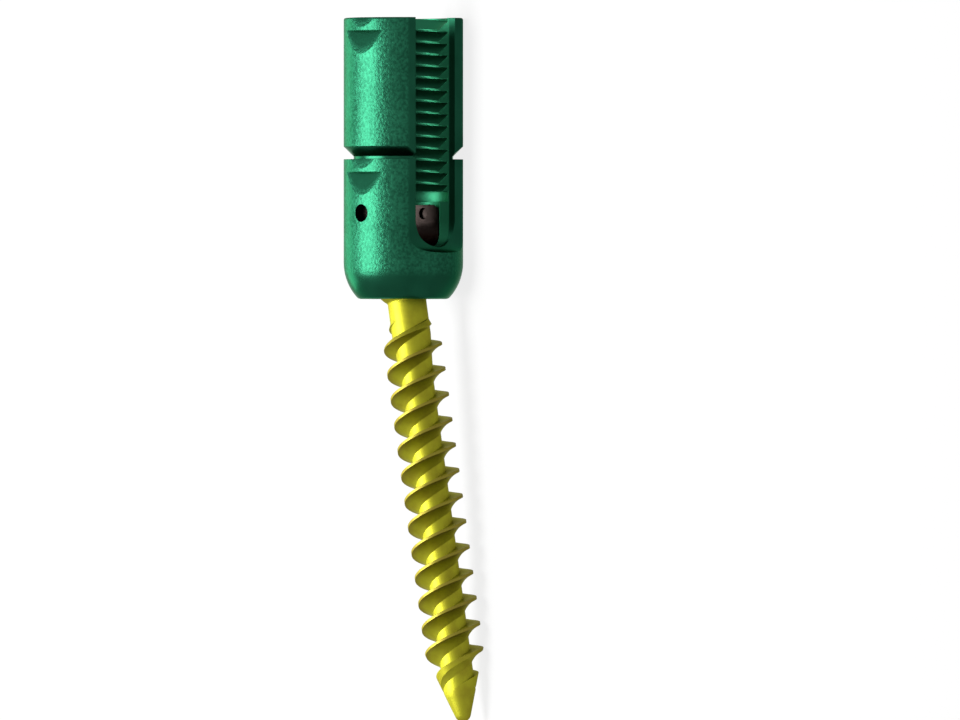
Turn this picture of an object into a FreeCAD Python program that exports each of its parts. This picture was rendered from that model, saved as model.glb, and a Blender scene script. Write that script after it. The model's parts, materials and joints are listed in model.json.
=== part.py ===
# Polyaxial pedicle screw with a long tabbed tulip, as a parametric document.
# The tulip lies on the round of one arm with its mouth towards +X, and the bone screw droops from its ball
# towards -X. The origin is where the rod's axis crosses the tulip's axis. All lengths are in millimetres.

import FreeCAD, Part
import math
import os
import re

import Sketcher
from FreeCAD import Placement, Rotation, Vector

document = FreeCAD.newDocument("PedicleScrew")
sizes = document.addObject("Spreadsheet::Sheet", "Sizes")

# Driving sizes
# Heights on the tulip are counted from its foot, and lengths along the bone screw from its ball's centre.
driving_sizes = {
    # Outside of the tulip
    "tulip_radius": 6.6,
    "tulip_height": 31.05,
    "mouth_edge_round": 0.25,
    "foot_arc_radius": 5.7,
    "foot_arc_height": 4.0,
    "foot_edge_round": 0.7,
    "snap_height": 15.43,
    "snap_depth": 1.1,
    "snap_land": 0.32,
    "flat_distance": 5.0,
    "flat_foot": 5.09,
    "flat_runout_radius": 2.0,
    # Tool notches, two on each arm
    "lead_cut_depth": 0.27,
    "lead_cut_length": 1.08,
    "ledge_drop": 1.42,
    "ledge_depth": 0.663,
    "ledge_cut_end": 4.0,
    # Rod slot
    "rod_radius": 3.0,
    "rod_clearance": 0.05,
    "slot_floor_drop": 0.05,
    # Set screw thread inside the arms
    "thread_shoulder": 0.1,
    "set_thread_depth": 1.03,
    "set_thread_pitch": 1.3,
    "set_thread_crest": 0.13,
    "relief_start": 10.75,
    "relief_end": 11.88,
    "relief_extra": 0.05,
    "entry_chamfer": 0.97,
    # Seat and mouth for the ball and its neck
    "seat_height": 1.0,
    "seat_land": 0.2,
    "throat_clearance": 0.07,
    "tilt_limit": 25.0,
    "neck_clearance": 0.15,
    # Split seat ring
    "ring_wall": 0.3,
    "ring_bore_clearance": 0.05,
    "ring_seat_clearance": 0.03,
    "ring_gap": 0.9,
    # Pressure saddle
    "ball_clearance": 0.05,
    "saddle_clearance": 0.05,
    "saddle_floor_wall": 0.34,
    "saddle_skirt_lift": 0.75,
    "saddle_arm_height": 10.4,
    "saddle_edge_chamfer": 0.35,
    "driver_hole_radius": 2.25,
    # Saddle pins and their holes
    "pin_drop": 0.93,
    "pin_radius": 0.92,
    "pin_hole_clearance": 0.05,
    "pin_recess": 1.1,
    "pin_shoulder_distance": 4.1,
    "pin_nose_radius": 0.5,
    "pin_nose_distance": 3.35,
    "pin_play": 0.12,
    # Head and neck of the bone screw
    "ball_radius": 3.6,
    "ball_flat_height": 1.6,
    "socket_corner_radius": 1.95,
    "socket_lobe_angle": 12.0,
    "socket_lobe_radius": 0.45,
    "socket_valley_radius": 0.75,
    "socket_depth": 2.3,
    "neck_radius": 2.15,
    "neck_round": 0.35,
    # Shank and bone thread
    "shank_length": 50.25,
    "crest_radius": 3.25,
    "core_radius": 1.77,
    "core_taper_start": 6.8,
    "core_taper_end": 11.85,
    "bone_thread_lead": 5.74,
    "first_crest": 7.99,
    "run_in_length": 2.84,
    "run_out_inset": 0.03,
    "crest_width": 0.28,
    "head_flank_angle": 6.0,
    "tip_flank_radius": 2.2,
    "tip_flank_reach": 1.48,
    "tip_angle": 18.4,
    "tip_round": 0.9,
    # How it lies
    "tulip_roll": 28.2,
    "shank_yaw": 11.47,
}

# Sizes that follow from the driving ones
derived_sizes = {
    "channel_radius": "rod_radius + rod_clearance",
    "seat_sphere": "ball_radius + ball_clearance",
    "ring_radius": "seat_sphere + ring_wall",
    "bore_radius": "ring_radius + ring_bore_clearance",
    "set_minor_radius": "bore_radius - thread_shoulder",
    "set_major_radius": "set_minor_radius + set_thread_depth",
    "relief_radius": "set_major_radius + relief_extra",
    "saddle_radius": "set_minor_radius - saddle_clearance",
    "throat_radius": "crest_radius + throat_clearance",
    "ring_foot": "seat_height + ring_seat_clearance",
    "ball_centre_height": "ring_foot + sqrt(seat_sphere ^ 2 - throat_radius ^ 2)",
    "foot_mouth_radius": "ball_centre_height * tan(tilt_limit * 1 deg)"
    " + neck_radius / cos(tilt_limit * 1 deg) + neck_clearance",
    "pin_height": "saddle_arm_height - pin_drop",
    "driver_hole_foot": "ball_centre_height + sqrt(seat_sphere ^ 2 - driver_hole_radius ^ 2)",
    "rod_axis_height": "driver_hole_foot + saddle_floor_wall + channel_radius",
    "flat_start": "flat_foot"
    " + sqrt(flat_runout_radius ^ 2 - (flat_runout_radius - tulip_radius + flat_distance) ^ 2)",
    "foot_arc_centre": "tulip_radius - foot_arc_radius",
    "foot_arc_inner": "foot_arc_radius - foot_edge_round",
    "foot_flat_radius": "foot_arc_centre + sqrt(foot_arc_inner ^ 2 - (foot_arc_height - foot_edge_round) ^ 2)",
    "foot_arc_share": "foot_arc_radius / foot_arc_inner",
    "set_root_land": "set_thread_pitch - set_thread_crest - set_thread_depth",
    "set_profile_radius": "set_minor_radius - set_thread_crest / 2",
    "set_profile_top": "relief_end - set_thread_crest / 4",
    "tip_slope": "tan(tip_angle * 1 deg)",
    "cone_apex": "shank_length + tip_round * (1 / sin(tip_angle * 1 deg) - 1)",
    "taper_start": "cone_apex - crest_radius / tip_slope",
    "ridge_apex": "cone_apex - run_out_inset / tip_slope",
    "ridge_foot": "core_radius - crest_width",
    "ridge_top": "crest_radius + crest_width / 2",
    "ridge_start": "first_crest - bone_thread_lead",
    "inner_cut_radius": "core_radius / 2",
    "run_in_start": "first_crest - 1.5 * run_in_length",
    "neck_round_place": "sqrt((ball_radius + neck_round) ^ 2 - (neck_radius + neck_round) ^ 2)",
    "neck_round_share": "ball_radius / (ball_radius + neck_round)",
}

for row, (name, number) in enumerate(driving_sizes.items(), start=1):
    sizes.set(f"A{row}", name)
    sizes.set(f"B{row}", str(number))
    sizes.setAlias(f"B{row}", name)
document.recompute()


def term(formula):
    """Spell out a formula of size names as an expression on the sheet."""

    def spell(word):
        name = word.group()
        if name in derived_sizes:
            return f"({term(derived_sizes[name])})"
        if name in driving_sizes:
            return f"Sizes.{name}"
        return name

    return re.sub("[a-z_]+", spell, formula)


def size(formula):
    """The value of a formula of size names."""
    return float(sizes.evalExpression(term(formula)))


def origin_plane(body, role):
    return [feature for feature in body.Origin.OriginFeatures if feature.Role == role][0]


def new_body(name):
    body = document.addObject("PartDesign::Body", name)
    body.Label = name
    return body


def new_sketch(body, name, plane):
    sketch = body.newObject("Sketcher::SketchObject", name)
    sketch.AttachmentSupport = [(origin_plane(body, plane), "")]
    sketch.MapMode = "FlatFace"
    sketch.Visibility = False
    return sketch


def bind(sketch, constraint, formula):
    """Add a dimension to a sketch and tie it to the sheet."""
    index = sketch.addConstraint(constraint)
    sketch.setExpression(f"Constraints[{index}]", term(formula))


def arc_between(start, end, radius, turn):
    """The shorter arc from start to end, which bends left for a turn of 1 and right for -1."""
    chord = end - start
    across = Vector(-chord.y, chord.x, 0).normalize()
    offset = math.sqrt(radius**2 - chord.Length**2 / 4)
    centre = (start + end) * 0.5 + across * turn * offset
    first, last = (start, end) if turn > 0 else (end, start)
    angles = [math.atan2(place.y - centre.y, place.x - centre.x) for place in (first, last)]
    return Part.ArcOfCircle(Part.Circle(centre, Vector(0, 0, 1), radius), *angles)


def draw_outline(sketch, corners, arcs=()):
    """Draw a closed outline. Corners are pairs of formulas; arcs maps a corner's number to (radius, turn)."""
    arcs = dict(arcs)
    places = [Vector(size(across), size(along), 0) for across, along in corners]
    edges = []
    for number, start in enumerate(places):
        end = places[(number + 1) % len(places)]
        if number in arcs:
            radius, turn = arcs[number]
            edge = sketch.addGeometry(arc_between(start, end, size(radius), turn))
            bind(sketch, Sketcher.Constraint("Radius", edge, size(radius)), radius)
            edges.append((edge, 1, 2) if turn > 0 else (edge, 2, 1))
        else:
            edge = sketch.addGeometry(Part.LineSegment(start, end))
            edges.append((edge, 1, 2))
    for number, (edge, start, _) in enumerate(edges):
        last_edge, _, last_end = edges[number - 1]
        sketch.addConstraint(Sketcher.Constraint("Coincident", last_edge, last_end, edge, start))
        for kind, axis, formula in (("DistanceX", -2, corners[number][0]), ("DistanceY", -1, corners[number][1])):
            if formula == "0":
                sketch.addConstraint(Sketcher.Constraint("PointOnObject", edge, start, axis))
            else:
                bind(sketch, Sketcher.Constraint(kind, -1, 1, edge, start, size(formula)), formula)


def draw_circle(sketch, across, along, radius):
    place = Vector(size(across), size(along), 0)
    edge = sketch.addGeometry(Part.Circle(place, Vector(0, 0, 1), size(radius)))
    bind(sketch, Sketcher.Constraint("Radius", edge, size(radius)), radius)
    for kind, axis, formula in (("DistanceX", -2, across), ("DistanceY", -1, along)):
        if formula == "0":
            sketch.addConstraint(Sketcher.Constraint("PointOnObject", edge, 3, axis))
        else:
            bind(sketch, Sketcher.Constraint(kind, -1, 1, edge, 3, size(formula)), formula)


def turned(body, name, sketch, kind="PartDesign::Revolution"):
    """Turn a half outline about the body's own axis."""
    feature = body.newObject(kind, name)
    feature.Profile = sketch
    feature.ReferenceAxis = (sketch, ["V_Axis"])
    feature.Angle = 360
    return feature


def helical(body, name, sketch, kind, lead, length):
    """Carry a profile along a right-hand helix about the body's own axis."""
    feature = body.newObject(kind, name)
    feature.Profile = sketch
    feature.ReferenceAxis = (sketch, ["V_Axis"])
    feature.Mode = "pitch-height-angle"
    feature.setExpression("Pitch", term(lead))
    feature.setExpression("Height", term(length))
    return feature


def cut_across(body, name, sketch, width):
    """Cut a profile out of the body, evenly to both sides of its plane."""
    pocket = body.newObject("PartDesign::Pocket", name)
    pocket.Profile = sketch
    pocket.SideType = "Symmetric"
    pocket.setExpression("Length", term(width))
    return pocket


def mirror(body, name, feature, plane):
    copy = body.newObject("PartDesign::Mirrored", name)
    copy.Originals = [feature]
    copy.MirrorPlane = (origin_plane(body, plane), [""])
    body.Tip = copy
    return copy


def channel_corners(centre, top):
    """The outline of a rod channel across the tulip, from its round floor up to an open top."""
    corners = [
        ("-(channel_radius)", centre),
        ("0", f"{centre} - channel_radius"),
        ("channel_radius", centre),
        ("channel_radius", top),
        ("-(channel_radius)", top),
    ]
    return corners, {0: ("channel_radius", 1), 1: ("channel_radius", 1)}


# Tulip
# One turned piece: a short head, a groove to snap the long tabs off at, and the tabs themselves.
def make_tulip():
    body = new_body("tulip")
    outside = [
        ("foot_mouth_radius", "0"),
        ("foot_flat_radius", "0"),
        (
            "foot_arc_centre + (foot_flat_radius - foot_arc_centre) * foot_arc_share",
            "foot_arc_height - (foot_arc_height - foot_edge_round) * foot_arc_share",
        ),
        ("tulip_radius", "foot_arc_height"),
        ("tulip_radius", "snap_height"),
        ("tulip_radius - snap_depth", "snap_height"),
        ("tulip_radius - snap_depth", "snap_height + snap_land"),
        ("tulip_radius", "snap_height + snap_land + snap_depth"),
        ("tulip_radius", "tulip_height - mouth_edge_round"),
        ("tulip_radius - mouth_edge_round", "tulip_height"),
    ]
    inside = [
        ("set_minor_radius + entry_chamfer", "tulip_height"),
        ("set_minor_radius", "tulip_height - entry_chamfer"),
        ("set_minor_radius", "relief_end"),
        ("relief_radius", "relief_end"),
        ("relief_radius", "relief_start"),
        ("bore_radius", "relief_start"),
        ("bore_radius", "seat_height"),
        ("throat_radius", "seat_height"),
        ("throat_radius", "seat_height - seat_land"),
    ]
    rounds = {1: ("foot_edge_round", 1), 2: ("foot_arc_radius", 1), 8: ("mouth_edge_round", 1)}
    sketch = new_sketch(body, "TulipOutline", "XZ_Plane")
    draw_outline(sketch, outside + inside, rounds)
    turned(body, "TulipTurned", sketch)

    sketch = new_sketch(body, "SideFlatProfile", "XZ_Plane")
    flat = [
        ("flat_distance", "flat_start"),
        ("tulip_radius", "flat_foot"),
        ("2 * tulip_radius", "flat_foot"),
        ("2 * tulip_radius", "tulip_height + tulip_radius"),
        ("flat_distance", "tulip_height + tulip_radius"),
    ]
    draw_outline(sketch, flat, {0: ("flat_runout_radius", 1)})
    side_flat = cut_across(body, "SideFlat", sketch, "4 * tulip_radius")
    mirror(body, "SideFlats", side_flat, "YZ_Plane")

    sketch = new_sketch(body, "RodSlotProfile", "YZ_Plane")
    draw_outline(sketch, *channel_corners("rod_axis_height - slot_floor_drop", "tulip_height + tulip_radius"))
    cut_across(body, "RodSlot", sketch, "4 * tulip_radius")

    sketch = new_sketch(body, "SetThreadProfile", "XZ_Plane")
    flank_foot = "set_profile_top - set_root_land - (set_major_radius - set_profile_radius)"
    profile = [
        ("set_profile_radius", flank_foot),
        ("set_major_radius", "set_profile_top - set_root_land"),
        ("set_major_radius", "set_profile_top"),
        ("set_profile_radius", "set_profile_top"),
    ]
    draw_outline(sketch, profile)
    length = "tulip_height + set_thread_pitch - set_profile_top"
    helical(body, "SetThread", sketch, "PartDesign::SubtractiveHelix", "set_thread_pitch", length)

    for name, top in (("Mouth", "tulip_height"), ("Snap", "snap_height")):
        sketch = new_sketch(body, f"{name}NotchProfile", "YZ_Plane")
        lead_cut = [
            ("tulip_radius", f"{top} - lead_cut_length"),
            ("2 * tulip_radius", f"{top} - lead_cut_length"),
            ("2 * tulip_radius", f"{top} + 0.2 * lead_cut_length"),
            ("tulip_radius - 1.2 * lead_cut_depth", f"{top} + 0.2 * lead_cut_length"),
        ]
        ledge_cut = [
            ("tulip_radius", f"{top} - ledge_cut_end"),
            ("2 * tulip_radius", f"{top} - ledge_cut_end"),
            ("2 * tulip_radius", f"{top} - ledge_drop"),
            ("tulip_radius - ledge_depth", f"{top} - ledge_drop"),
        ]
        draw_outline(sketch, lead_cut)
        draw_outline(sketch, ledge_cut)
        notch = cut_across(body, f"{name}Notch", sketch, "4 * tulip_radius")
        mirror(body, f"{name}Notches", notch, "XZ_Plane")

    sketch = new_sketch(body, "PinHoleProfile", "XZ_Plane")
    draw_circle(sketch, "0", "pin_height", "pin_radius + pin_hole_clearance")
    cut_across(body, "PinHoles", sketch, "4 * tulip_radius")
    return body


# Pressure saddle
# A cup that sits on the ball, with a channel under the rod and a hole that lets the driver through.
def make_saddle():
    body = new_body("pressure_saddle")
    sketch = new_sketch(body, "SaddleOutline", "XZ_Plane")
    skirt = "ball_centre_height + saddle_skirt_lift"
    outline = [
        ("sqrt(seat_sphere ^ 2 - saddle_skirt_lift ^ 2)", skirt),
        ("saddle_radius", skirt),
        ("saddle_radius", "saddle_arm_height - saddle_edge_chamfer"),
        ("saddle_radius - saddle_edge_chamfer", "saddle_arm_height"),
        ("driver_hole_radius", "saddle_arm_height"),
        ("driver_hole_radius", "driver_hole_foot"),
    ]
    draw_outline(sketch, outline, {5: ("seat_sphere", -1)})
    turned(body, "SaddleTurned", sketch)

    sketch = new_sketch(body, "ChannelProfile", "YZ_Plane")
    draw_outline(sketch, *channel_corners("rod_axis_height", "saddle_arm_height + tulip_radius"))
    cut_across(body, "Channel", sketch, "4 * tulip_radius")

    sketch = new_sketch(body, "NoseHoleProfile", "XZ_Plane")
    draw_circle(sketch, "0", "pin_height", "pin_nose_radius + pin_play")
    cut_across(body, "NoseHoles", sketch, "4 * tulip_radius")
    return body


# Saddle pins
# Two stepped pins through the arms. Their noses keep the saddle from turning and from lifting out.
def make_saddle_pins():
    steps = []
    for name, radius, start, end in (
        ("PinBody", "pin_radius", "pin_shoulder_distance", "tulip_radius - pin_recess"),
        ("PinNose", "pin_nose_radius", "pin_nose_distance", "pin_shoulder_distance"),
    ):
        step = document.addObject("Part::Cylinder", name)
        step.setExpression("Radius", term(radius))
        step.setExpression("Height", term(f"{end} - {start}"))
        step.setExpression("Placement.Base.x", term("pin_height - rod_axis_height"))
        step.setExpression("Placement.Base.z", term(start))
        steps.append(step)
    pin = document.addObject("Part::Fuse", "Pin")
    pin.Base, pin.Tool = steps
    other_pin = document.addObject("Part::Mirroring", "OtherPin")
    other_pin.Source = pin
    other_pin.Normal = Vector(0, 0, 1)
    pins = document.addObject("Part::Compound", "saddle_pins")
    pins.Links = [pin, other_pin]
    pins.Label = "saddle_pins"
    return pins


# Seat ring
# A split ring on the ledge at the foot of the bore, hollowed to the ball from its widest line down.
def make_seat_ring():
    body = new_body("seat_ring")
    sketch = new_sketch(body, "RingOutline", "XZ_Plane")
    outline = [
        ("throat_radius", "ring_foot"),
        ("ring_radius", "ring_foot"),
        ("ring_radius", "ball_centre_height"),
        ("seat_sphere", "ball_centre_height"),
    ]
    draw_outline(sketch, outline, {3: ("seat_sphere", -1)})
    turned(body, "RingTurned", sketch)

    sketch = new_sketch(body, "RingGapProfile", "XY_Plane")
    gap = [
        ("throat_radius / 2", "-(ring_gap) / 2"),
        ("2 * ring_radius", "-(ring_gap) / 2"),
        ("2 * ring_radius", "ring_gap / 2"),
        ("throat_radius / 2", "ring_gap / 2"),
    ]
    draw_outline(sketch, gap)
    cut_across(body, "RingGap", sketch, "4 * ball_centre_height")
    return body


# Bone screw
# Two helical ridges stand on a core that tapers below the neck. The ball on top holds a six-lobed socket.
def make_bone_screw():
    body = new_body("bone_screw")
    sketch = new_sketch(body, "RidgeProfile", "XZ_Plane")
    lean = "tan(head_flank_angle * 1 deg)"
    head_edge = "ridge_start - crest_width / 2"
    tip_edge = "ridge_start + crest_width / 2"
    ridge = [
        ("ridge_foot", f"{head_edge} - (crest_radius - ridge_foot) * {lean}"),
        ("ridge_top", f"{head_edge} + (ridge_top - crest_radius) * {lean}"),
        ("ridge_top", tip_edge),
        ("core_radius - crest_width / 2", f"{tip_edge} + tip_flank_reach"),
        ("ridge_foot", f"{tip_edge} + tip_flank_reach"),
    ]
    draw_outline(sketch, ridge, {2: ("tip_flank_radius", -1)})
    length = "shank_length - tip_round - ridge_start"
    start = helical(body, "Ridge", sketch, "PartDesign::AdditiveHelix", "bone_thread_lead", length)
    ridges = body.newObject("PartDesign::PolarPattern", "Ridges")
    ridges.Originals = [start]
    ridges.Axis = (sketch, ["V_Axis"])
    ridges.Angle = 360
    ridges.Occurrences = 2
    body.Tip = ridges

    sketch = new_sketch(body, "CrestTrimProfile", "XZ_Plane")
    outer = "2 * crest_radius"
    head_end = "ridge_start - crest_radius"
    tip_end = "shank_length + crest_radius"
    trim = [
        ("crest_radius - 1.5 * (crest_radius - neck_radius)", "run_in_start"),
        ("crest_radius", "first_crest"),
        ("crest_radius", "ridge_apex - crest_radius / tip_slope"),
        ("inner_cut_radius", "ridge_apex - inner_cut_radius / tip_slope"),
        ("inner_cut_radius", tip_end),
        (outer, tip_end),
        (outer, head_end),
        ("inner_cut_radius", head_end),
        ("inner_cut_radius", "run_in_start"),
    ]
    draw_outline(sketch, trim)
    turned(body, "CrestTrim", sketch, "PartDesign::Groove")

    sketch = new_sketch(body, "CoreOutline", "XZ_Plane")
    core = [
        ("0", "-(ball_flat_height)"),
        ("sqrt(ball_radius ^ 2 - ball_flat_height ^ 2)", "-(ball_flat_height)"),
        ("(neck_radius + neck_round) * neck_round_share", "neck_round_place * neck_round_share"),
        ("neck_radius", "neck_round_place"),
        ("neck_radius", "core_taper_start"),
        ("core_radius", "core_taper_end"),
        ("core_radius", "cone_apex - core_radius / tip_slope"),
        (
            "tip_round * cos(tip_angle * 1 deg)",
            "shank_length - tip_round * (1 - sin(tip_angle * 1 deg))",
        ),
        ("0", "shank_length"),
    ]
    rounds = {1: ("ball_radius", 1), 2: ("neck_round", -1), 7: ("tip_round", 1)}
    draw_outline(sketch, core, rounds)
    turned(body, "Core", sketch)

    sketch = new_sketch(body, "SocketProfile", "XY_Plane")
    sketch.setExpression("AttachmentOffset.Base.z", term("-(ball_flat_height)"))
    corners = []
    arcs = {}
    for lobe in range(6):
        for side, bend in ((-1, ("socket_lobe_radius", 1)), (1, ("socket_valley_radius", -1))):
            angle = f"({60 * lobe} + {side} * socket_lobe_angle) * 1 deg"
            arcs[len(corners)] = bend
            corners.append((f"socket_corner_radius * cos({angle})", f"socket_corner_radius * sin({angle})"))
    draw_outline(sketch, corners, arcs)
    socket = body.newObject("PartDesign::Pocket", "Socket")
    socket.Profile = sketch
    socket.Reversed = True
    socket.setExpression("Length", term("socket_depth"))
    return body


tulip = make_tulip()
pressure_saddle = make_saddle()
saddle_pins = make_saddle_pins()
seat_ring = make_seat_ring()
bone_screw = make_bone_screw()

# Resting places
# The tulip's pieces turn from their own upright axis to +X, and roll on the arm that they lie on.
roll = Rotation(Vector(1, 0, 0), size("tulip_roll"))
for body in (tulip, pressure_saddle, seat_ring):
    body.Placement = Placement(Vector(-size("rod_axis_height"), 0, 0), roll * Rotation(Vector(1, 1, 1), 120))
saddle_pins.Placement = Placement(Vector(0, 0, 0), roll)

# The shank droops until its last full crests meet the surface that the tulip lies on, and swings aside.
reach = math.hypot(size("taper_start"), size("crest_radius"))
droop = math.degrees(
    math.asin(size("tulip_radius") / reach) - math.atan(size("crest_radius") / size("taper_start"))
)
half = math.sqrt(0.5)
hanging = Rotation(Vector(0, -half, -half), Vector(0, -half, half), Vector(-1, 0, 0), "ZXY")
swing = Rotation(Vector(0, 0, 1), size("shank_yaw")) * Rotation(Vector(0, 1, 0), -droop)
ball_centre = Vector(size("ball_centre_height - rod_axis_height"), 0, 0)
bone_screw.Placement = Placement(ball_centre, swing * roll * hanging)

document.recompute()

# Checks before anything is written
cutters = ("PartDesign::Pocket", "PartDesign::Groove", "PartDesign::SubtractiveHelix")
for item in document.Objects:
    if {"Invalid", "Error"} & set(item.State):
        raise RuntimeError(f"{item.Label} failed: {item.State}")
    if item.TypeId in cutters and item.Shape.Volume >= item.BaseFeature.Shape.Volume:
        raise RuntimeError(f"{item.Label} cuts nothing")

nodes = (tulip, pressure_saddle, saddle_pins, seat_ring, bone_screw)
for node in nodes:
    if node.Shape.isNull() or not node.Shape.isValid():
        raise RuntimeError(f"{node.Label} has no valid shape")

os.makedirs("parts", exist_ok=True)
for node in nodes:
    node.Shape.exportStep(os.path.join("parts", f"{node.Label}.step"))
    box = node.Shape.BoundBox
    print(f"{node.Label}: {len(node.Shape.Solids)} solid(s), {node.Shape.Volume:.2f} mm3, {box}")
print(f"rod axis height {size('rod_axis_height'):.3f}, ball centre height {size('ball_centre_height'):.3f}")
print(f"shank direction {bone_screw.Placement.Rotation.multVec(Vector(0, 0, 1))}, droop {droop:.3f}")
print(f"foot mouth radius {size('foot_mouth_radius'):.3f}, taper start {size('taper_start'):.3f}")
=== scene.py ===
# %% [markdown]
# A pedicle screw, dressed for its picture
#
# A pedicle screw is a bone screw with a ball for a head. The ball turns inside a slotted receiver, the tulip,
# which takes a rod. The frame brings every piece at its real size and place, so this lesson is about what
# a metalworker would call the finish: blasting, anodising, small edge rounds, and the light that shows them.
# The frame is loaded first. The box of the bare model is kept, and the floor, the camera and the lamps are placed
# from it.

import json
from math import cos, pi, radians, sin

import bmesh
import bpy
from mathutils import Matrix, Vector


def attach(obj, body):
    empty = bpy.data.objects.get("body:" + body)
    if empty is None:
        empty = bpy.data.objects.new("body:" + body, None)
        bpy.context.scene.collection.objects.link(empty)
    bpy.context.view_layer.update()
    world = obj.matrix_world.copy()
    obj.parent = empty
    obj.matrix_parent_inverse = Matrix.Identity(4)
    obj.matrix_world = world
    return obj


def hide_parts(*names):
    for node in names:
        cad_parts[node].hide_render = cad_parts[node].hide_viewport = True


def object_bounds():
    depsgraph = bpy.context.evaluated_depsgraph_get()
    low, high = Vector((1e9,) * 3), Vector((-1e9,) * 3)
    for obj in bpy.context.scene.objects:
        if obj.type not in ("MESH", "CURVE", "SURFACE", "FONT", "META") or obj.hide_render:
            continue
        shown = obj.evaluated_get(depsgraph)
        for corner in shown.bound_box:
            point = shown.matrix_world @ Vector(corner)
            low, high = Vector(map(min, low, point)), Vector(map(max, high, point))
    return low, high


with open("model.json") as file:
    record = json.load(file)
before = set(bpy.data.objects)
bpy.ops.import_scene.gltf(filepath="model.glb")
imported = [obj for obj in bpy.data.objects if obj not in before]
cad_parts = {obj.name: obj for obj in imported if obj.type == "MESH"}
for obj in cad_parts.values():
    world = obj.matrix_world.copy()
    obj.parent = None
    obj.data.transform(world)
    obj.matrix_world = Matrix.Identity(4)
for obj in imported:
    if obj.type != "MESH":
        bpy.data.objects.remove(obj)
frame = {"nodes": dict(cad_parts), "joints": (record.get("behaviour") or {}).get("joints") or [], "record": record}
bare_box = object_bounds()
MM = 0.001
lowest, highest = bare_box
print("Nodes:", ", ".join(sorted(frame["nodes"])))
print("Size of the bare model in mm:", [round(side / MM, 2) for side in highest - lowest])

# %% [markdown]
# The model lies on its side. The tulip's axis runs along X with its mouth towards +X, and the origin is
# where the rod's axis crosses it. A few places are read from the frame, so that they follow the model:
# the floor under the tulip, the ball's centre from the tilt joint, the way that a rod would lie from the
# mount of its seat, and the way that the shank points from the shape of the screw itself.

# %% Places read from the frame
floor_height = lowest.z
mouth_height = highest.x
for joint in frame["joints"]:
    if joint["name"] == "tilt":
        ball_centre = Vector(joint["pos_m"])
for mount in frame["record"]["mounts"]:
    if mount["name"] == "rod_seat":
        rod_way = Vector(mount["axis"])
screw_points = [corner.co for corner in frame["nodes"]["bone_screw"].data.vertices]
tip = max(screw_points, key=lambda place: (place - ball_centre).length)
print("Floor at", round(floor_height / MM, 2), "mm, ball at", [round(n / MM, 2) for n in ball_centre])

# %% [markdown]
# The picture is taken from far away with a long lens, which keeps the tulip's sides parallel. It shows one
# arm at the left and the slot at the right, so the camera stands halfway between the way that the upper arm
# faces and the way that the slot opens. The screw is shown upright and this one lies down, so the camera is
# rolled until +X is up in the picture. The width of the view and the place of the tulip's axis in it were
# measured on the picture, in pixels, and are turned into metres here.

# %% Camera
PICTURE_WIDTH, PICTURE_HEIGHT = 960, 720
PIXELS_PER_MM = 9.05
AXIS_PIXEL = 403.4
MOUTH_PIXEL = 18.0
CAMERA_DISTANCE = 2.0
SENSOR_WIDTH = 36.0

picture_up = Vector((1, 0, 0))
towards_camera = (picture_up.cross(rod_way) - rod_way).normalized()
picture_right = picture_up.cross(towards_camera)
metres_per_pixel = MM / PIXELS_PER_MM
view_centre = (
    picture_up * (mouth_height - (PICTURE_HEIGHT / 2 - MOUTH_PIXEL) * metres_per_pixel)
    + picture_right * (PICTURE_WIDTH / 2 - AXIS_PIXEL) * metres_per_pixel
)
camera_data = bpy.data.cameras.new("picture_camera")
camera_data.sensor_width = SENSOR_WIDTH
camera_data.lens = SENSOR_WIDTH * CAMERA_DISTANCE / (PICTURE_WIDTH * metres_per_pixel)
camera_data.clip_start, camera_data.clip_end = 0.01, 20.0
camera = bpy.data.objects.new("picture_camera", camera_data)
bpy.context.scene.collection.objects.link(camera)


def stand(place, across, up, back):
    """The matrix of a thing at a place, with its own X, Y and Z along three directions."""
    return Matrix.Translation(place) @ Matrix((across, up, back)).transposed().to_4x4()


camera_place = view_centre + towards_camera * CAMERA_DISTANCE
camera.matrix_world = stand(camera_place, picture_right, picture_up, towards_camera)
bpy.context.scene.camera = camera
print("Lens", round(camera_data.lens, 1), "mm, looking at", [round(n / MM, 2) for n in view_centre])

# %% [markdown]
# The frame's meshes are loose triangles, so each small facet would catch the light by itself. A real turned
# part is smooth, with crisp edges only where two cuts meet. A copy of each mesh is therefore merged, its
# faces are set smooth, and only edges that bend by more than a set angle stay sharp. One kind of edge needs
# its own rule: where a sloped cut runs out in the tulip's straight side, the bend is as small as between two
# facets of the round side, yet it is a crisp edge on the real part. The copy takes the place of its node,
# which remains for the motion.

# %% A smooth copy of a node
MERGE_DISTANCE = 0.0002 * MM
SHARP_ANGLE = radians(24)
RUN_OUT_ANGLE = radians(8)
LEVEL_SIDE, SLOPED_CUT = 0.01, 0.2


def is_crisp(edge):
    """Whether two cuts meet at an edge, or a sloped cut runs out in a side along X."""
    if len(edge.link_faces) != 2:
        return True
    bend = edge.calc_face_angle(0)
    slopes = sorted(abs(face.normal.x) for face in edge.link_faces)
    runs_out = slopes[0] < LEVEL_SIDE and slopes[1] > SLOPED_CUT and bend > RUN_OUT_ANGLE
    return bend > SHARP_ANGLE or runs_out


def smooth_copy(node, name, body):
    mesh = frame["nodes"][node].data.copy()
    mesh.name = name
    work = bmesh.new()
    work.from_mesh(mesh)
    bmesh.ops.remove_doubles(work, verts=work.verts, dist=MERGE_DISTANCE)
    for face in work.faces:
        face.smooth = True
    for edge in work.edges:
        edge.smooth = not is_crisp(edge)
    work.to_mesh(mesh)
    work.free()
    mesh.materials.clear()
    piece = bpy.data.objects.new(name, mesh)
    bpy.context.scene.collection.objects.link(piece)
    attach(piece, body)
    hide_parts(node)
    crisp = sum(1 for edge in mesh.edges if edge.use_edge_sharp)
    print(f"{name}: {len(mesh.polygons)} faces, {crisp} crisp edges")
    return piece


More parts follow.
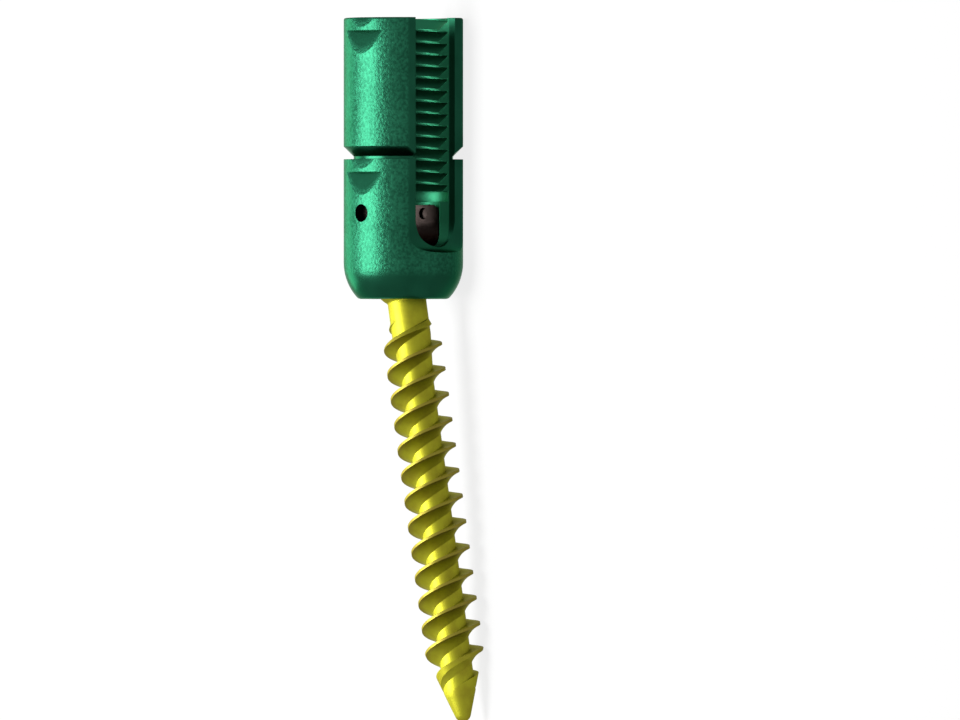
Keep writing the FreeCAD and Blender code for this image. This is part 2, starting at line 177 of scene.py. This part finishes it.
tulip = smooth_copy("tulip", "anodised_tulip", "tulip")
saddle = smooth_copy("pressure_saddle", "rod_saddle", "tulip")
pins = smooth_copy("saddle_pins", "retaining_pins", "tulip")
ring = smooth_copy("seat_ring", "split_ring", "seat_ring")
screw = smooth_copy("bone_screw", "anodised_bone_screw", "bone_screw")

# %% [markdown]
# Materials are sums on surfaces: a little more roughness here, a little less colour there. Written out node
# by node they are hard to read, so one small class wraps a socket and lets Python's operators add the Math
# nodes. A second one holds a material and adds any other node.

# %% Sums on sockets


class Value:
    """A number that varies over a surface."""

    def __init__(self, finish, socket):
        self.finish, self.socket = finish, socket

    def sum_with(self, operation, first, second):
        return self.finish.node("ShaderNodeMath", {"operation": operation}, {0: first, 1: second})

    def __add__(self, other):
        return self.sum_with("ADD", self, other)

    def __radd__(self, other):
        return self.sum_with("ADD", other, self)

    def __sub__(self, other):
        return self.sum_with("SUBTRACT", self, other)

    def __rsub__(self, other):
        return self.sum_with("SUBTRACT", other, self)

    def __mul__(self, other):
        return self.sum_with("MULTIPLY", self, other)

    def __rmul__(self, other):
        return self.sum_with("MULTIPLY", other, self)


class Finish:
    """A material with one Principled shader, and short ways to add nodes to it."""

    def __init__(self, name, slot, constants):
        self.slot = slot
        self.material = bpy.data.materials.new(name)
        self.material.use_nodes = True
        self.tree = self.material.node_tree
        self.shader = self.tree.nodes["Principled BSDF"]
        for socket, value in constants.items():
            self.shader.inputs[socket].default_value = value

    def feed(self, socket, value):
        if isinstance(value, Value):
            self.tree.links.new(value.socket, socket)
        else:
            socket.default_value = value

    def node(self, kind, settings, values, output=0):
        """Add a node: its settings first, then the values or links of its sockets."""
        made = self.tree.nodes.new(kind)
        for key, setting in settings.items():
            if key == "stops":
                for number, (place, colour) in enumerate(setting):
                    stops = made.color_ramp.elements
                    stop = stops[number] if number < len(stops) else stops.new(place)
                    stop.position, stop.color = place, colour
            else:
                setattr(made, key, setting)
        for key, value in values.items():
            self.feed(made.inputs[key], value)
        return Value(self, made.outputs[output])

    def place(self):
        """Where a point of the surface is on the piece, in metres."""
        return self.node("ShaderNodeTexCoord", {}, {}, "Object")

    def noise(self, size, detail=2.0, place=None):
        """Soft blotches about size metres across, from 0 to 1."""
        where = place or self.place()
        return self.node("ShaderNodeTexNoise", {}, {"Vector": where, "Scale": 1 / size, "Detail": detail})

    def ramp(self, value, stops):
        greys = [(place, (grey, grey, grey, 1)) for place, grey in stops]
        return self.node("ShaderNodeValToRGB", {"stops": greys}, {"Fac": value})

    def mix(self, factor, first, second):
        return self.node("ShaderNodeMix", {"data_type": "RGBA"}, {0: factor, 6: first, 7: second}, 2)

    def bump(self, height, distance, strength, normal):
        """The normal tilted by a height that varies, up to distance metres deep."""
        values = {"Height": height, "Distance": distance, "Strength": strength, "Normal": normal}
        return self.node("ShaderNodeBump", {}, values)

    def edge_round(self, radius):
        """The normal of the surface with its edges eased by a small radius."""
        return self.node("ShaderNodeBevel", {"samples": 6}, {"Radius": radius})

    def shade(self, **varying):
        for socket, value in varying.items():
            self.feed(self.shader.inputs[socket.replace("_", " ")], value)

    def dress(self, piece):
        piece.data.materials.append(self.material)
        print(piece.name, "wears", self.material.name)


print("Two classes for materials are ready")

# %% [markdown]
# The tulip is titanium, turned, blasted with fine beads, milled and then anodised green. Such a skin is
# metal that tints what it mirrors. Blasting leaves tiny dimples, so the bright band on its side breaks up
# into sparkles: two sizes of noise tilt the surface, and the larger one varies the tint and the roughness
# too. A third, much larger noise lets the tint drift a little, as a real bath does. The notches, the groove
# and the slot are cut after the blasting, so they are smooth. The thread deep inside the arms is painted a
# lighter green, a painted fill light where little light reaches. How far a point is from the tulip's axis
# tells which of these surfaces it is on. The round of the foot lies nearer to the axis as well, so it comes
# out as smooth as they do.

# %% Green blasted anodising
GREEN = (0.0055, 0.043, 0.0230, 1)
GREEN_LIGHT = (0.0125, 0.093, 0.0500, 1)
# Painted fill light: a lighter green for the thread inside the bore, where little light reaches.
GREEN_PAINTED_FILL_INSIDE = (0.0140, 0.105, 0.0540, 1)
DIMPLE = 0.11 * MM
GRIT = 0.32 * MM
CLOUD = 4.0 * MM
BLASTED_FROM = 6.38 * MM
BLASTED_WHOLLY = 6.56 * MM
BORE_EDGE = 5.1 * MM
MILLED_TRACE = 0.08
DIMPLE_DEPTH = 0.09 * MM
TULIP_EDGE = 0.07 * MM

green = Finish(
    "green_blasted_anodising",
    "green_anodised",
    {"Metallic": 1.0, "Specular Tint": (0.51, 0.75, 0.58, 1)},
)
dimples = green.noise(DIMPLE, detail=1.0)
grit = green.noise(GRIT)
drift = green.ramp(green.noise(CLOUD), [(0.35, 0.0), (0.65, 1.0)])
speckle = green.ramp(grit, [(0.36, 0.0), (0.64, 1.0)])
off_axis = green.node("ShaderNodeVectorMath", {"operation": "MULTIPLY"}, {0: green.place(), 1: (0, 1, 1)})
from_axis = green.node("ShaderNodeVectorMath", {"operation": "LENGTH"}, {0: off_axis}, 1)
inside = green.node("ShaderNodeMath", {"operation": "LESS_THAN"}, {0: from_axis, 1: BORE_EDGE})
blasted = green.node(
    "ShaderNodeMapRange",
    {},
    {"Value": from_axis, "From Min": BLASTED_FROM, "From Max": BLASTED_WHOLLY, "To Min": 0.0, "To Max": 1.0},
)
skin = (dimples * 0.25 + grit * 0.75 - 0.5) * (MILLED_TRACE + (1 - MILLED_TRACE) * blasted)
outer_tint = green.mix(drift * 0.3 + speckle * 0.7 * blasted, GREEN, GREEN_LIGHT)
# Inside the bore the colour is the lighter green of the painted fill light.
green.shade(
    Base_Color=green.mix(inside, outer_tint, GREEN_PAINTED_FILL_INSIDE),
    Roughness=0.28 + 0.16 * grit * blasted + 0.16 * inside,
    Normal=green.bump(skin, DIMPLE_DEPTH, 0.60, green.edge_round(TULIP_EDGE)),
)
green.dress(tulip)

# %% [markdown]
# The bone screw is anodised yellow over a finely turned surface. It is smoother than the tulip, so each
# turn of the thread carries one soft bright spot. The crests are painted partly a darker brown, a painted
# shade for the dim brownish reflections along the thread's edges. The distance from the shank's own axis
# tells a crest from the core: the coordinates are turned until Z runs along the shank, and the length of
# what is left in X and Y is that distance.

# %% Yellow anodising
YELLOW = (0.27, 0.265, 0.0175, 1)
YELLOW_DEEP = (0.22, 0.200, 0.0150, 1)
# Painted shade: a darker brown laid on the thread's crests.
PAINTED_CREST_SHADE_BROWN = (0.15, 0.105, 0.0280, 1)
CREST = 3.25 * MM
PATCH = 1.6 * MM
TURNED_MARK = 0.12 * MM
MARK_DEPTH = 0.006 * MM
SCREW_EDGE = 0.06 * MM

yellow = Finish(
    "yellow_anodising",
    "yellow_anodised",
    {"Metallic": 1.0, "Specular Tint": (0.70, 0.68, 0.50, 1)},
)
shank = (tip - ball_centre).normalized()
to_shank = shank.to_track_quat("Z", "Y").to_matrix().transposed()
turned_back = to_shank.to_euler()
shift = -(to_shank @ ball_centre)
along_shank = yellow.node(
    "ShaderNodeMapping",
    {"vector_type": "POINT"},
    {"Vector": yellow.place(), "Location": shift, "Rotation": turned_back},
)
across = yellow.node("ShaderNodeVectorMath", {"operation": "MULTIPLY"}, {0: along_shank, 1: (1, 1, 0)})
distance = yellow.node("ShaderNodeVectorMath", {"operation": "LENGTH"}, {0: across}, 1)
painted_shade_crest_mask = yellow.node(
    "ShaderNodeMapRange",
    {},
    {"Value": distance, "From Min": 0.80 * CREST, "From Max": CREST, "To Min": 0.0, "To Max": 1.0},
)
patches = yellow.noise(PATCH, detail=3.0)
fine = yellow.noise(TURNED_MARK)
body_tint = yellow.mix(yellow.ramp(patches, [(0.40, 0.0), (0.72, 1.0)]), YELLOW, YELLOW_DEEP)
# The crests get part of the painted brown shade.
yellow.shade(
    Base_Color=yellow.mix(painted_shade_crest_mask * 0.6, body_tint, PAINTED_CREST_SHADE_BROWN),
    Roughness=0.43 + 0.12 * patches,
    Normal=yellow.bump(fine, MARK_DEPTH, 0.30, yellow.edge_round(SCREW_EDGE)),
)
yellow.dress(screw)

# %% [markdown]
# Inside the slot sits the saddle, dark brown-grey anodised and turned on a lathe, held by two pins of the
# same colour. Under the ball lies a split ring of bare titanium. They hardly show, but the slot and the
# foot's mouth are open to view from the side, so they get true finishes too: rings of lathe marks on the
# saddle, and a plain satin grey on the ring.

# %% Dark anodising and plain titanium
DARK = (0.005, 0.004, 0.0035, 1)
DARK_LIGHT = (0.018, 0.014, 0.013, 1)
GREY = (0.34, 0.32, 0.30, 1)
GREY_LIGHT = (0.46, 0.44, 0.41, 1)
SMALL_MARK = 0.004 * MM
SMALL_EDGE = 0.04 * MM

dark = Finish(
    "dark_anodising",
    "dark_anodised",
    {"Metallic": 1.0, "Specular Tint": (0.36, 0.33, 0.32, 1)},
)
lathe_place = dark.node(
    "ShaderNodeVectorMath", {"operation": "MULTIPLY"}, {0: dark.place(), 1: (1, 0.05, 0.05)}
)
lathe_marks = dark.noise(0.05 * MM, detail=1.0, place=lathe_place)
dark.shade(
    Base_Color=dark.mix(dark.noise(0.8 * MM), DARK, DARK_LIGHT),
    Roughness=0.26 + 0.14 * lathe_marks,
    Normal=dark.bump(lathe_marks, SMALL_MARK, 0.4, dark.edge_round(SMALL_EDGE)),
)
dark.dress(saddle)
dark.dress(pins)

titanium = Finish("plain_titanium", "plain_titanium", {"Metallic": 1.0})
wear = titanium.noise(0.5 * MM, detail=3.0)
titanium.shade(
    Base_Color=titanium.mix(wear, GREY, GREY_LIGHT),
    Roughness=0.28 + 0.12 * wear,
    Normal=titanium.bump(wear, SMALL_MARK, 0.3, titanium.edge_round(SMALL_EDGE)),
)
titanium.dress(ring)

# %% [markdown]
# The floor is a large pale sheet. The camera and the metal's reflections should see it as plain white paper,
# yet the soft shadow under the screw has to stay. So the floor mixes a matt grey, which carries the shadow,
# with a large share of white glow that only camera, glossy and transmission rays see.

# %% Floor
FLOOR_SIDE = 8.0
FLOOR_GREY = (0.40, 0.40, 0.40, 1)
WHITE = (1, 1, 1, 1)
GLOW_SHARE = 0.82


def light_path_white(tree):
    """A factor of 1 for camera, glossy and transmission rays, and 0 for the rest."""
    path = tree.nodes.new("ShaderNodeLightPath")
    total = path.outputs["Is Camera Ray"]
    for ray in ("Is Glossy Ray", "Is Transmission Ray"):
        added = tree.nodes.new("ShaderNodeMath")
        added.operation = "MAXIMUM"
        tree.links.new(total, added.inputs[0])
        tree.links.new(path.outputs[ray], added.inputs[1])
        total = added.outputs[0]
    return total


work = bmesh.new()
bmesh.ops.create_grid(work, x_segments=1, y_segments=1, size=FLOOR_SIDE / 2)
bmesh.ops.translate(work, verts=work.verts, vec=(0, 0, floor_height))
floor_mesh = bpy.data.meshes.new("floor")
work.to_mesh(floor_mesh)
work.free()
floor = bpy.data.objects.new("floor", floor_mesh)
bpy.context.scene.collection.objects.link(floor)

paper = bpy.data.materials.new("white_paper")
paper.use_nodes = True
tree = paper.node_tree
shader = tree.nodes["Principled BSDF"]
shader.inputs["Base Color"].default_value = FLOOR_GREY
shader.inputs["Roughness"].default_value = 0.9
shader.inputs["Specular IOR Level"].default_value = 0.0
glow = tree.nodes.new("ShaderNodeEmission")
glow.inputs["Color"].default_value = WHITE
share = tree.nodes.new("ShaderNodeMath")
share.operation = "MULTIPLY"
share.inputs[1].default_value = GLOW_SHARE
tree.links.new(light_path_white(tree), share.inputs[0])
mixed = tree.nodes.new("ShaderNodeMixShader")
tree.links.new(share.outputs[0], mixed.inputs["Fac"])
tree.links.new(shader.outputs["BSDF"], mixed.inputs[1])
tree.links.new(glow.outputs["Emission"], mixed.inputs[2])
tree.links.new(mixed.outputs["Shader"], tree.nodes["Material Output"].inputs["Surface"])
floor_mesh.materials.append(paper)
print("Floor laid at", round(floor_height / MM, 2), "mm")

# %% [markdown]
# The light comes from the left of the picture, which is overhead here. One large soft box hangs there and
# draws the bright band down the tulip's side. A narrower, weaker one behind lifts the far edge, and a faint
# one stands above the camera. The world gives a low even light, and shows white to the camera and in
# reflections, as the floor does.

# %% Lights and world
picture_left = -picture_right
ROOM_LIGHT = 0.35


def soft_box(name, angle, distance, length, width, radiance):
    """A soft box seen from the tulip at an angle from the camera towards the picture's left."""
    lamp = bpy.data.lights.new(name, "AREA")
    lamp.shape = "RECTANGLE"
    lamp.size, lamp.size_y = length, width
    lamp.energy = radiance * pi * length * width
    box = bpy.data.objects.new(name, lamp)
    away = towards_camera * cos(radians(angle)) + picture_left * sin(radians(angle))
    middle = Vector(((lowest.x + highest.x) / 2, 0, 0))
    box.matrix_world = stand(middle + away * distance, picture_up, away.cross(picture_up), away)
    bpy.context.scene.collection.objects.link(box)
    box.visible_camera = False
    print(f"{name}: {lamp.energy:.2f} W")


soft_box("key_box", 73, 0.60, 0.36, 0.48, 17.0)
soft_box("edge_box", 130, 0.60, 0.50, 0.30, 5.0)
soft_box("front_box", 20, 0.80, 0.50, 0.30, 0.6)

world = bpy.data.worlds.new("studio")
bpy.context.scene.world = world
world.use_nodes = True
tree = world.node_tree
room = tree.nodes["Background"]
room.inputs["Color"].default_value = WHITE
room.inputs["Strength"].default_value = ROOM_LIGHT
white = tree.nodes.new("ShaderNodeBackground")
white.inputs["Color"].default_value = WHITE
mixed = tree.nodes.new("ShaderNodeMixShader")
tree.links.new(light_path_white(tree), mixed.inputs["Fac"])
tree.links.new(room.outputs["Background"], mixed.inputs[1])
tree.links.new(white.outputs["Background"], mixed.inputs[2])
tree.links.new(mixed.outputs["Shader"], tree.nodes["World Output"].inputs["Surface"])
bpy.context.scene.view_settings.view_transform = "Standard"
